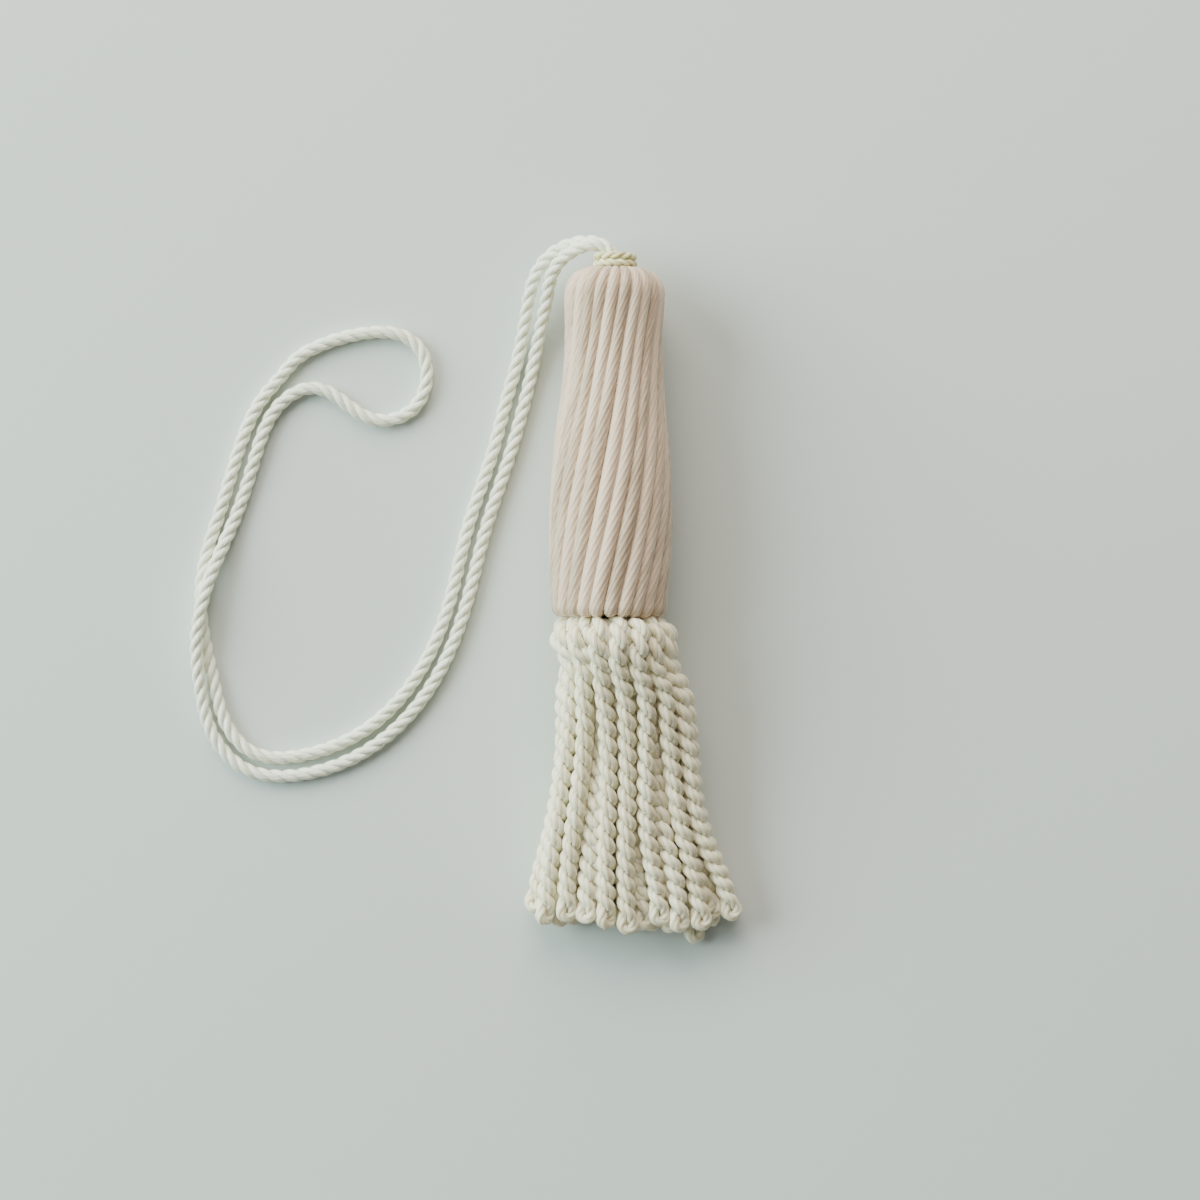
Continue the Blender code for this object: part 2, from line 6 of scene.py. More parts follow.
import bpy
import numpy as np
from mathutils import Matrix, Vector


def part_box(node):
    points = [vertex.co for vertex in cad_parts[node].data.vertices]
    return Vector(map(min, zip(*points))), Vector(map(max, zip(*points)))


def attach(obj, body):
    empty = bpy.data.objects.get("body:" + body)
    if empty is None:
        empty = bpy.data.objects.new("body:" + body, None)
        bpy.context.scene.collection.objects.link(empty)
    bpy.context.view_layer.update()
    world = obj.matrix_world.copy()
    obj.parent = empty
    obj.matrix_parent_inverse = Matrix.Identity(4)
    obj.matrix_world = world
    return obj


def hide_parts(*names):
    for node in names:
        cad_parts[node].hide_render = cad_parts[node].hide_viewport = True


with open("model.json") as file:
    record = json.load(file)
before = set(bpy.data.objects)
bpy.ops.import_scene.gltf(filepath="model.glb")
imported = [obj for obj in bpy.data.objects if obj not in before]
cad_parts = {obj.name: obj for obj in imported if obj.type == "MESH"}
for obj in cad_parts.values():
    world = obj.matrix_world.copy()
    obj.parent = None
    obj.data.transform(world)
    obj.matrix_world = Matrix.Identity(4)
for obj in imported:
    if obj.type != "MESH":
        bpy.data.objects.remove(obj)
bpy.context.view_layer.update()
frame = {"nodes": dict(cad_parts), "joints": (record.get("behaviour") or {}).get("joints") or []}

MM = 0.001
RNG = np.random.default_rng(11)
WHOLE_TURN = 2 * math.pi

# Thread: how much darker painted shade makes the groove between two yarns (and half as much the
# line between the finest threads), in tones; how deep the grooves between the finest threads are,
# as a share of the ply's radius; and how wide and long the fibres of its surface are, and how high
# they stand.
PAINTED_GROOVE_SHADE = 1.2
THREAD_DEPTH = 0.035
FIBRE_WIDTH = 0.9 * MM
FIBRE_LENGTH = 6 * MM
FIBRE_RELIEF = 0.10 * MM

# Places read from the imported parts.
MOULD_LOW, MOULD_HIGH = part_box("wooden_mould")
COVER_LOW, COVER_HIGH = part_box("cover_winding")
RUFF_LOW, RUFF_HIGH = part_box("ruff")
HEADING_LOW, HEADING_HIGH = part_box("skirt_heading")
AXIS_X = (MOULD_LOW[0] + MOULD_HIGH[0]) / 2
AXIS_Z = (MOULD_LOW[2] + MOULD_HIGH[2]) / 2
RIM_Y = COVER_LOW[1]
HEAD_TOP_Y = COVER_HIGH[1]
HEADING_X = (HEADING_LOW[0] + HEADING_HIGH[0]) / 2

# The head's outline at the crest of its ribs: y, radius.
HEAD_SIDE = (
    (-0.0021, 0.0128),
    (0.0040, 0.0132),
    (0.0120, 0.0135),
    (0.0185, 0.0136),
    (0.0260, 0.0133),
    (0.0345, 0.0126),
    (0.0430, 0.0116),
    (0.0500, 0.0110),
    (0.0570, 0.0108),
    (0.0645, 0.0111),
)
SHOULDER_R = 0.0056
SHOULDER_TURNS = tuple(math.radians(degrees) for degrees in (15.0, 35.0, 55.0, 75.0))
# The crest's way into the mouth: depth below the head's top, radius.
MOUTH_ROUTE = ((0.0002, 0.0046), (0.0012, 0.0038), (0.0030, 0.0036))
# The ribs: how thick each is as a share of the head's radius there, how they lean round the
# head at a low and a high level, and how they turn in under the rim.
RIB_COUNT = 24
RIB_FULLNESS = 0.128
RIB_LEAN_LEVELS = (0.010, 0.045)
RIB_LEANS = (math.radians(10.5), math.radians(7.5))
RIM_ROUNDING = 0.4 * MM
UNDER_RIM_RADII = (0.0070, 0.0085)
# Their unevenness: in thickness, in how deep they lie, in their spacing as a share of it, and
# in slow waves round the head and in thickness.
RIB_FULLNESS_RANGE = (0.96, 1.05)
RIB_SINK = 0.10 * MM
RIB_SPACING_ERROR = 0.05
RIB_WANDER = 0.010
RIB_WANDER_LENGTH = 11 * MM
RIB_SWELL = 0.02
RIB_SWELL_LENGTH = 5 * MM
RIB_YARNS = {"columns": 40, "yarns": 10, "yarn_depth": 0.07, "yarn_pitch": 30 * MM}
# The dark sheet of painted shade seen between the ribs: where it starts above the rim, its radius
# there, its depth below the crests as a share of the head's radius, and its fibres.
SHADE_SHEET_RISE = 1.6 * MM
SHADE_SHEET_FOOT_R = 0.0072
SHADE_SHEET_DEPTH = 0.12
SHADE_SHEET_FIBRES_ROUND = 6.0
SHADE_SHEET_FIBRE_LENGTH = 2 * MM
SHADE_SHEET_LIGHT = (0.34, 0.26, 0.19)
SHADE_SHEET_DARK = (0.22, 0.16, 0.11)

# The ruff: each row's level as a share of its height, the hand of its twist and the turn it
# starts at; then the levels of the plain rings behind the rows.
RUFF_ROWS = ((0.24, 1, 1.2), (0.76, -1, 3.8))
RUFF_PLY_R = 0.46 * MM
RUFF_PLY_OFFSET = 0.36 * MM
RUFF_ROW_INSET = 0.52 * MM
RUFF_ROW_POINTS = 240
RUFF_TURNS = 6
RUFF_FILLING_LEVELS = (0.12, 0.5, 0.88)
RUFF_FILLING_R = 0.34 * MM
RUFF_FILLING_INSET = 0.85 * MM
RUFF_FILLING_POINTS = 120

# The hanging cord, of three plies.
CORD_R = 1.4 * MM
EXIT_DIRECTION = (-0.70, 0.72, 0.0)
CORD_PLY_R = 0.79 * MM
CORD_PLY_OFFSET = 0.73 * MM
CORD_PITCH = 9.6 * MM
CORD_PHASE = 0.3
CORD_YARNS = {"columns": 20, "yarns": 5, "yarn_depth": 0.10, "yarn_pitch": -9 * MM}
CORD_TAIL_COLUMNS = 8
# The stop knot: how far above the middle of its room it lies, its mean reach from the head's
# axis, how far it swings in and out and up and down, and its turns and the waves in each.
KNOT_RISE = 1.4 * MM
KNOT_REACH = 2.7 * MM
KNOT_SWING = 0.9 * MM
KNOT_LIFT = 1.3 * MM
KNOT_TURNS = 2
KNOT_WAVES = 1.5
KNOT_POINTS = 260

# The bullion strands of the skirt, each one ply folded back on itself with a loop at its end,
# which is tilted out of the level by up to LOOP_TILT radians. A ply's middle line lies at least
# LEAST_HEIGHT of its radius above the floor.
STRAND_PLY_R = 1.22 * MM
STRAND_PLY_OFFSET = 0.96 * MM
STRAND_PITCH = 7.6 * MM
STRAND_END_PITCH = 6.6 * MM
STRAND_END_RISE = 2.2 * MM
STRAND_SWELL = 0.035
STRAND_SWELL_LENGTH = 8 * MM
OUTER_STRANDS = 16
LOOP_R = 1.30 * MM
LOOP_LENGTH = 2.6 * MM
LOOP_TILT = 0.9
LOOP_POINTS = 30
LEAST_HEIGHT = 0.95
OUTER_YARNS = {
    "columns": 48,
    "yarns": 4,
    "yarn_depth": 0.17,
    "yarn_pitch": 9 * MM,
    "threads": 12,
}
INNER_YARNS = {"columns": 24, "yarns": 4, "yarn_depth": 0.17, "yarn_pitch": 9 * MM}
# How far behind the outer strands the ones between them lie, and how much shorter they are.
BEHIND = 2.6 * MM
BEHIND_SHORTER = (0.5 * MM, 3.0 * MM)
# Where a strand is cut from its top, above its hanging point, and how many of its rings go on
# inside the top, drawn in to this share.
ROOT_RISE = 0.6 * MM
ROOT_RINGS = 3
ROOT_SHARE = 0.97
# The turned-over tops of the first and the second row: radius, y. Then how unevenly the second
# row's are spaced, as a share of the spacing.
TOP_ROUTE = ((0.0084, -0.0056), (0.0105, -0.0062), (0.0120, -0.0085))
SECOND_TOP_ROUTE = (
    (0.0078, -0.0057),
    (0.0096, -0.0066),
    (0.0104, -0.0090),
    (0.0096, -0.0120),
    (0.0078, -0.0150),
)
TOP_SPACING_ERROR = 0.1
# Where an inner strand starts: radius, and rise above the hanging points.
INNER_TOP_R = 0.0060
INNER_TOP_RISE = 3.0 * MM

# The doubled cord's way into the head: sideways offset from the head's axis, and y.
TAIL_ROUTE = (
    (0.0, -0.0010),
    (0.0, 0.0300),
    (0.0, 0.0500),
    (0.0005, 0.0590),
    (0.0008, 0.0650),
    (0.00075, 0.0690),
    (0.0004, 0.0719),
    (-0.0003, 0.0739),
    (-0.0010, 0.0750),
)
# The middle of the doubled cord: x from the head's axis, y, height of the axis, half the
# distance between the two strands, and the turn of the pair (90 puts one above the other).
PAIR_ROUTE = (
    (-0.0013, 0.07545, 0.0136, 0.00155, 90.0),
    (-0.0026, 0.0766, 0.0136, 0.00155, 86.0),
    (-0.0049, 0.0772, 0.0133, 0.00155, 76.0),
    (-0.0081, 0.0768, 0.0124, 0.00160, 62.0),
    (-0.0112, 0.0755, 0.0110, 0.00160, 48.0),
    (-0.0138, 0.0734, 0.0094, 0.00170, 35.0),
    (-0.0156, 0.0705, 0.0078, 0.00185, 24.0),
    (-0.0166, 0.0670, 0.0062, 0.00200, 14.0),
    (-0.0173, 0.0632, 0.0047, 0.00190, 7.0),
    (-0.0181, 0.0590, 0.0033, 0.00180, 3.0),
    (-0.0195, 0.0515, 0.0019, 0.00180, 0.0),
    (-0.0215, 0.0431, 0.0014, 0.00200, 0.0),
    (-0.0246, 0.0310, 0.0014, 0.00190, 0.0),
    (-0.0294, 0.0155, 0.0014, 0.00195, 0.0),
    (-0.0333, -0.0011, 0.0014, 0.00185, 0.0),
    (-0.0386, -0.0155, 0.0014, 0.00190, 0.0),
    (-0.0499, -0.0300, 0.0014, 0.00200, 0.0),
    (-0.0674, -0.0383, 0.0014, 0.00210, 0.0),
    (-0.0790, -0.0376, 0.0014, 0.00200, 0.0),
    (-0.0856, -0.0312, 0.0014, 0.00185, 0.0),
    (-0.0886, -0.0215, 0.0018, 0.00165, 20.0),
    (-0.0902, -0.0115, 0.0026, 0.00155, 60.0),
    (-0.0901, -0.0020, 0.0028, 0.00155, 105.0),
    (-0.0881, 0.0075, 0.0021, 0.00160, 150.0),
    (-0.0850, 0.0165, 0.0014, 0.00180, 180.0),
    (-0.0811, 0.0295, 0.0014, 0.00200, 180.0),
    (-0.0759, 0.0418, 0.0014, 0.00195, 180.0),
)
# The end loop, from one strand of the pair round to the other: x from the head's axis, y.
LOOP_ROUTE = (
    (-0.0733, 0.0481),
    (-0.0697, 0.0521),
    (-0.0651, 0.0547),
    (-0.0602, 0.0565),
    (-0.0551, 0.0576),
    (-0.0500, 0.0579),
    (-0.0456, 0.0567),
    (-0.0425, 0.0537),
    (-0.0413, 0.0495),
    (-0.0418, 0.0450),
    (-0.0440, 0.0412),
    (-0.0475, 0.0390),
    (-0.0517, 0.0384),
    (-0.0559, 0.0398),
    (-0.0597, 0.0424),
    (-0.0636, 0.0447),
    (-0.0674, 0.0452),
    (-0.0708, 0.0439),
)

# Colours, light on the crests and dark in the hollows, where painted shade in the grooves takes
# them; the random tone and the fibres also move between the two.
HEAD_LIGHT = (0.74, 0.585, 0.43)
HEAD_DARK = (0.37, 0.275, 0.18)
SKIRT_LIGHT = (0.955, 0.895, 0.67)
SKIRT_DARK = (0.70, 0.64, 0.435)
CORD_LIGHT = (0.93, 0.95, 0.78)
CORD_DARK = (0.74, 0.78, 0.60)
RUFF_LIGHT = (0.86, 0.82, 0.48)
RUFF_DARK = (0.52, 0.47, 0.22)
WOOD_LIGHT = (0.66, 0.47, 0.29)
WOOD_DARK = (0.36, 0.21, 0.11)
LEATHER_LIGHT = (0.30, 0.18, 0.10)
LEATHER_DARK = (0.17, 0.09, 0.05)
# Woven parts: material name, colours, and how many threads go to a metre.
WEBBING = ("heading_webbing", (0.62, 0.57, 0.44), (0.44, 0.40, 0.30), 1300.0)
BINDING = ("binding_thread", (0.74, 0.72, 0.60), (0.55, 0.53, 0.42), 2600.0)

# Camera and light.
CAMERA_X = -8.4 * MM
CAMERA_Y = -0.6 * MM
VIEW_WIDTH = 264 * MM
LENS_MM = 100.0
SENSOR_MM = 36.0
CAMERA_ROLL = math.radians(1.0)
VIEW_PLANE_Z = 7 * MM
# Each lamp: name, place, width of its disk, watts, colour.
LAMPS = (
    ("window_light", (-1.26, 0.37, 0.68), 1.25, 48.0, (0.84, 1.0, 0.98)),
    ("room_light", (-0.15, 1.20, 0.80), 1.25, 34.0, (0.94, 0.86, 0.76)),
)
SKY_COLOUR = (1.0, 0.955, 0.91)
SKY_STRENGTH = 0.22
FLOOR_COLOUR = (0.612, 0.674, 0.648)
FLOOR_HALF = 3.0


def any_phase():
    """A random start for a wave or a twist."""
    return RNG.uniform(0, 6.28)


# ---------------------------------------------------------------- curves


def natural_spline(knots, step, samples=40):
    """A natural cubic spline through the knots, resampled at even steps of length."""
    knots = np.array(knots, float)
    chord = np.linalg.norm(np.diff(knots, axis=0), axis=1)
    count = len(knots)
    system = np.eye(count)
    target = np.zeros_like(knots)
    for i in range(1, count - 1):
        before = chord[i - 1]
        after = chord[i]
        system[i, i - 1 : i + 2] = (before, 2 * (before + after), after)
        rise = (knots[i + 1] - knots[i]) / after - (knots[i] - knots[i - 1]) / before
        target[i] = 6 * rise
    bend = np.linalg.solve(system, target)
    points = []
    for i in range(count - 1):
        t = np.linspace(0, 1, samples, endpoint=False)[:, None]
        flat = (1 - t) * knots[i] + t * knots[i + 1]
        pull = (1 - t) ** 3 - (1 - t)
        push = t**3 - t
        points.append(flat + chord[i] ** 2 / 6 * (pull * bend[i] + push * bend[i + 1]))
    points.append(knots[-1:])
    return resampled(np.vstack(points), step)


def arc_length(points):
    """The length of the polyline up to each of its points."""
    return np.concatenate([[0.0], np.cumsum(np.linalg.norm(np.diff(points, axis=0), axis=1))])


def resampled(points, step):
    """The polyline at even steps of length."""
    run = arc_length(points)
    count = max(2, int(round(run[-1] / step)) + 1)
    at = np.linspace(0, run[-1], count)
    return np.column_stack([np.interp(at, run, points[:, c]) for c in range(points.shape[1])])


def unit(vectors):
    """The vectors at length 1."""
    return vectors / np.linalg.norm(vectors, axis=-1, keepdims=True)


def turning_frames(points):
    """Tangent and two square directions at each point, carried along without twisting."""
    along = unit(np.gradient(points, axis=0))
    side = np.cross(along[0], (0.0, 0.0, 1.0))
    if np.linalg.norm(side) < 0.2:
        side = np.cross(along[0], (1.0, 0.0, 0.0))
    sides = np.empty_like(points)
    for i, tangent in enumerate(along):
        side = side - tangent * np.dot(side, tangent)
        side = side / np.linalg.norm(side)
        sides[i] = side
    return along, sides, np.cross(along, sides)


def round_axis(centre_x, radius, y, turn):
    """Points round a line parallel to Y at the given x and the head's height."""
    x = centre_x + radius * np.cos(turn)
    z = AXIS_Z + radius * np.sin(turn)
    return np.column_stack(np.broadcast_arrays(x, y, z))


# ---------------------------------------------------------------- thread meshes


def tube(path, radius, columns=12, yarns=0, yarn_depth=0.0, yarn_pitch=6 * MM, threads=0):
    """A tube along a path: rings of points that turn with the yarns laid round its surface.

    The yarns can be made of finer threads. The number of columns is a multiple of twice the
    number of the finest, so that one column of points lies in each groove.
    """
    _, side, up = turning_frames(path)
    run = arc_length(path)
    radius = np.broadcast_to(radius, len(path))
    phi = WHOLE_TURN * np.arange(columns) / columns
    groove = 1.0 - np.abs(np.cos(0.5 * yarns * phi))
    line = 1.0 - np.abs(np.cos(0.5 * threads * phi))
    r = radius[:, None] * (1.0 - yarn_depth * groove - THREAD_DEPTH * line)
    turn = phi + WHOLE_TURN * run[:, None] / yarn_pitch + RNG.uniform(0, WHOLE_TURN)
    across = np.cos(turn)[:, :, None] * side[:, None, :]
    upward = np.sin(turn)[:, :, None] * up[:, None, :]
    points = path[:, None, :] + r[:, :, None] * (across + upward)
    fibre = r / FIBRE_WIDTH
    length = np.broadcast_to(run[:, None] / FIBRE_LENGTH, r.shape)
    grain = np.stack([fibre * np.cos(phi), fibre * np.sin(phi), length], axis=2)
    # Random tone of the whole tube, less painted shade in the grooves between the yarns and, half
    # as much, between the finest threads.
    tone_and_shade = RNG.uniform(-1, 1) - PAINTED_GROOVE_SHADE * (groove + 0.5 * line)
    shift = RNG.uniform(-50, 50)
    return {"points": points, "grain": grain + shift, "tone_and_shade": np.broadcast_to(tone_and_shade, r.shape)}


def plies(centre, count, offset, ply_r, pitch, hand, phase, **look):
    """The strands of a laid rope, each a tube winding round the centre line."""
    _, side, up = turning_frames(centre)
    run = arc_length(centre)
    made = []
    for k in range(count):
        turn = phase + hand * WHOLE_TURN * run / pitch + WHOLE_TURN * k / count
        shift = np.cos(turn)[:, None] * side + np.sin(turn)[:, None] * up
        made.append(tube(centre + offset * shift, ply_r, **look))
    return made


def mesh_piece(name, tubes, material, capped=True):
    """One object from many tubes, with the grain, and the tone with its painted groove shade, that
    its material reads.

    The caps have their own vertices, so that their edges stay sharp.
    """
    points, grains, tones_and_shades, quads, tris = [], [], [], [], []
    base = 0
    for part in tubes:
        tone_and_shade = part["tone_and_shade"]
        rows, columns = tone_and_shade.shape
        points.append(part["points"].reshape(-1, 3))
        grains.append(part["grain"].reshape(-1, 3))
        tones_and_shades.append(tone_and_shade.reshape(-1))
        index = base + np.arange(rows * columns).reshape(rows, columns)
        after = np.roll(index, -1, axis=1)
        corners = [index[:-1], after[:-1], after[1:], index[1:]]
        quads.append(np.stack(corners, axis=2).reshape(-1, 4))
        base += rows * columns
        if not capped:
            continue
        for row, flip in ((0, True), (-1, False)):
            for collected, key in ((points, "points"), (grains, "grain")):
                values = part[key][row]
                collected.append(np.vstack([values, values.mean(axis=0)]))
            tones_and_shades.append(np.append(tone_and_shade[row], tone_and_shade[row, 0]))
            ring = base + np.arange(columns)
            following = np.roll(ring, -1)
            if flip:
                ring, following = following, ring
            middle = np.full(columns, base + columns)
            tris.append(np.stack([middle, ring, following], axis=1))
            base += columns + 1
    points = np.concatenate(points)
    quads = np.concatenate(quads)
    tris = np.concatenate(tris) if tris else np.empty((0, 3), int)
    mesh = bpy.data.meshes.new(name)
    mesh.vertices.add(len(points))
    mesh.vertices.foreach_set("co", points.ravel())
    mesh.loops.add(quads.size + tris.size)
    mesh.loops.foreach_set("vertex_index", np.concatenate([quads.ravel(), tris.ravel()]))
    mesh.polygons.add(len(quads) + len(tris))
    starts = np.concatenate([np.arange(len(quads)) * 4, quads.size + np.arange(len(tris)) * 3])
    mesh.polygons.foreach_set("loop_start", starts)
    mesh.update(calc_edges=True)
    mesh.shade_smooth()
    grain = mesh.attributes.new("grain", "FLOAT_VECTOR", "POINT")
    grain.data.foreach_set("vector", np.concatenate(grains).ravel())
    tone_and_shade = mesh.attributes.new("tone_and_shade", "FLOAT", "POINT")
    tone_and_shade.data.foreach_set("value", np.concatenate(tones_and_shades))
    mesh.materials.append(material)
    piece = bpy.data.objects.new(name, mesh)
    bpy.context.scene.collection.objects.link(piece)
    return piece


# ---------------------------------------------------------------- materials


def new_material(name, roughness):
    """A material with its nodes, its links and its shader."""
    material = bpy.data.materials.new(name)
    material.use_nodes = True
    nodes = material.node_tree.nodes
    shader = nodes["Principled BSDF"]
    shader.inputs["Roughness"].default_value = roughness
    return material, nodes, material.node_tree.links, shader


def noise_on(nodes, links, place, scale, detail):
    """A noise texture at the given place."""
    noise = nodes.new("ShaderNodeTexNoise")
    noise.inputs["Scale"].default_value = scale
    noise.inputs["Detail"].default_value = detail
    links.new(place, noise.inputs["Vector"])
    return noise


def colour_from(nodes, links, shader, value, dark, light, low=0.0):
    """The shader's colour, from dark at the low value to light at 1."""
    ramp = nodes.new("ShaderNodeValToRGB")
    ramp.color_ramp.elements[0].position = low
    ramp.color_ramp.elements[0].color = (*dark, 1.0)
    ramp.color_ramp.elements[1].color = (*light, 1.0)
    links.new(value, ramp.inputs["Fac"])
    links.new(ramp.outputs["Color"], shader.inputs["Base Color"])


def relief_from(nodes, links, shader, height, distance, strength=1.0):
    """The shader's fine relief, from a height."""
    bump = nodes.new("ShaderNodeBump")
    bump.inputs["Strength"].default_value = strength
    bump.inputs["Distance"].default_value = distance
    links.new(height, bump.inputs["Height"])
    links.new(bump.outputs["Normal"], shader.inputs["Normal"])


def thread_material(name, light, dark, roughness=0.42, glow=0.35, uneven=0.16):
    """Silky twisted thread: fine fibres along the thread, in relief and in colour, and the tone
    with its painted groove shade in colour.
    """
    material, nodes, links, shader = new_material(name, roughness)
    shader.inputs["Sheen Weight"].default_value = 0.3
    shader.inputs["Sheen Roughness"].default_value = 0.45
    shader.inputs["Specular IOR Level"].default_value = 0.45
    shader.inputs["Subsurface Weight"].default_value = glow
    shader.inputs["Subsurface Radius"].default_value = (1.0, 0.9, 0.75)
    shader.inputs["Subsurface Scale"].default_value = 1.2 * MM
    grain = nodes.new("ShaderNodeAttribute")
    grain.attribute_name = "grain"
    tone_and_shade = nodes.new("ShaderNodeAttribute")
    tone_and_shade.attribute_name = "tone_and_shade"
    fibres = noise_on(nodes, links, grain.outputs["Vector"], 3.4, 5.0)
    fibres.inputs["Roughness"].default_value = 0.62
    patches = noise_on(nodes, links, grain.outputs["Vector"], 0.35, 2.0)
    # The colour value: fibres, patches, and the tone with its painted groove shade.
    tint = nodes.new("ShaderNodeMath")
    tint.operation = "MULTIPLY_ADD"
    tint.inputs[1].default_value = uneven
    links.new(tone_and_shade.outputs["Fac"], tint.inputs[0])
    links.new(patches.outputs["Fac"], tint.inputs[2])
    depth = nodes.new("ShaderNodeMath")
    depth.operation = "MULTIPLY_ADD"
    depth.inputs[1].default_value = 0.9
    links.new(fibres.outputs["Fac"], depth.inputs[0])
    links.new(tint.outputs["Value"], depth.inputs[2])
    colour_from(nodes, links, shader, depth.outputs["Value"], dark, light, low=0.45)
    relief_from(nodes, links, shader, fibres.outputs["Fac"], FIBRE_RELIEF, strength=0.8)
    return material


def wood_material():
    """Plain turned beech, with its grain along the head."""
    material, nodes, links, shader = new_material("turned_wood", 0.62)
    place = nodes.new("ShaderNodeTexCoord")
    stretch = nodes.new("ShaderNodeMapping")
    stretch.inputs["Scale"].default_value = (420.0, 30.0, 420.0)
    links.new(place.outputs["Object"], stretch.inputs["Vector"])
    grain = noise_on(nodes, links, stretch.outputs["Vector"], 1.6, 6.0)
    colour_from(nodes, links, shader, grain.outputs["Fac"], WOOD_DARK, WOOD_LIGHT)
    relief_from(nodes, links, shader, grain.outputs["Fac"], 0.05 * MM)
    return material


def leather_material():
    """Brown washer leather with a fine pebbled surface."""
    material, nodes, links, shader = new_material("washer_leather", 0.7)
    place = nodes.new("ShaderNodeTexCoord")
    pebbles = nodes.new("ShaderNodeTexVoronoi")
    pebbles.inputs["Scale"].default_value = 2600.0
    links.new(place.outputs["Object"], pebbles.inputs["Vector"])
    colour_from(nodes, links, shader, pebbles.outputs["Distance"], LEATHER_DARK, LEATHER_LIGHT)
    relief_from(nodes, links, shader, pebbles.outputs["Distance"], 0.05 * MM)
    return material


def woven_material(name, light, dark, threads_per_metre):
    """Plain-woven tape or thread: a fine over-and-under check."""
    material, nodes, links, shader = new_material(name, 0.8)
    shader.inputs["Sheen Weight"].default_value = 0.2
    place = nodes.new("ShaderNodeTexCoord")
    weave = nodes.new("ShaderNodeTexChecker")
    weave.inputs["Scale"].default_value = threads_per_metre
    weave.inputs["Color1"].default_value = (*light, 1.0)
    weave.inputs["Color2"].default_value = (*dark, 1.0)
    links.new(place.outputs["Object"], weave.inputs["Vector"])
    fuzz = nodes.new("ShaderNodeTexNoise")
    fuzz.inputs["Scale"].default_value = 2 * threads_per_metre
    links.new(place.outputs["Object"], fuzz.inputs["Vector"])
    mixed = nodes.new("ShaderNodeMix")
    mixed.data_type = "RGBA"
    mixed.inputs["B"].default_value = (*light, 1.0)
    links.new(fuzz.outputs["Fac"], mixed.inputs["Factor"])
    links.new(weave.outputs["Color"], mixed.inputs["A"])
    links.new(mixed.outputs["Result"], shader.inputs["Base Color"])
    relief_from(nodes, links, shader, weave.outputs["Fac"], 0.08 * MM)
    return material


# ---------------------------------------------------------------- head


def head_crest():
    """(y, radius) along the crest of a rib: from the rim up the side, over, into the mouth."""
    knots = [(RIM_Y, HEAD_SIDE[0][1] - 0.1 * MM), *HEAD_SIDE]
    shoulder_y = HEAD_TOP_Y - SHOULDER_R
    inner = HEAD_SIDE[-1][1] - SHOULDER_R
    for turn in SHOULDER_TURNS:
        y = shoulder_y + SHOULDER_R * math.sin(turn)
        knots.append((y, inner + SHOULDER_R * math.cos(turn)))
    knots += [(HEAD_TOP_Y - depth, radius) for depth, radius in MOUTH_ROUTE]
    return natural_spline(knots, step=0.5 * MM)


def sunk(profile, depth):
    """The profile moved square to itself into the head."""
    along = unit(np.gradient(profile, axis=0))
    inward = np.column_stack([along[:, 1], -along[:, 0]])
    return profile + np.asarray(depth)[:, None] * inward


def rib_middle(crest, fullness):
    """(y, radius) of a rib's middle: out from under the rim, round its foot, then up and over."""
    share = fullness / (1 - fullness)
    upright = sunk(crest, fullness * crest[:, 1])
    foot_r = upright[0, 1]
    foot_y = RIM_Y + share * foot_r
    turn = np.linspace(-math.pi / 2, 0, 8)
    corner_y = foot_y + RIM_ROUNDING * (1 + np.sin(turn))
    corner_r = foot_r - RIM_ROUNDING * (1 - np.cos(turn))
    under = np.array([(RIM_Y + share * r, r) for r in UNDER_RIM_RADII])
    corner = np.column_stack([corner_y, corner_r])
    above = upright[upright[:, 0] > corner_y[-1] + 0.3 * MM]
    return resampled(np.vstack([under, corner, above]), step=0.4 * MM)


def rib_lead(profile):
    """How far round the head a rib has gone at each row, leaning more towards the rim."""
    y = profile[:, 0]
    lean = np.interp(y, RIB_LEAN_LEVELS, RIB_LEANS)
    return -np.cumsum(np.gradient(y) * np.tan(lean) / profile[:, 1])


def make_head():
    """Soft cords laid side by side over the mould, from under the rim into the mouth."""
    silk = thread_material(
        "head_silk", HEAD_LIGHT, HEAD_DARK, roughness=0.45, glow=0.15, uneven=0.20
    )
    crest = head_crest()
    ribs = []
    for i in range(RIB_COUNT):
        fullness = RIB_FULLNESS * RNG.uniform(*RIB_FULLNESS_RANGE)
        centre_line = rib_middle(crest, fullness)
        y, r = centre_line.T
        girth = fullness / (1 - fullness) * r
        r = r - RNG.uniform(0.0, RIB_SINK)
        wander = RIB_WANDER * np.sin(y / RIB_WANDER_LENGTH + any_phase())
        uneven = RNG.uniform(-RIB_SPACING_ERROR, RIB_SPACING_ERROR)
        start = WHOLE_TURN * (i + uneven) / RIB_COUNT
        path = round_axis(AXIS_X, r, y, start + rib_lead(centre_line) + wander)
        swell = 1.0 + RIB_SWELL * np.sin(arc_length(path) / RIB_SWELL_LENGTH + any_phase())
        ribs.append(tube(path, girth * swell, **RIB_YARNS))
    cover = mesh_piece("head_cords", ribs, silk)
    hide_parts("cover_winding")
    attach(cover, "head")
    # Painted shade: a dark sheet under the ribs, so that the grooves between them read dark.
    shade = thread_material("head_groove_shade", SHADE_SHEET_LIGHT, SHADE_SHEET_DARK, glow=0.1)
    start_y = RIM_Y + SHADE_SHEET_RISE
    upper = crest[crest[:, 0] > start_y]
    outline = np.vstack([(start_y, SHADE_SHEET_FOOT_R), sunk(upper, SHADE_SHEET_DEPTH * upper[:, 1])])
    shade_sheet = mesh_piece("head_shade_sheet", [turned_shell(outline, 96)], shade, capped=False)
    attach(shade_sheet, "head")


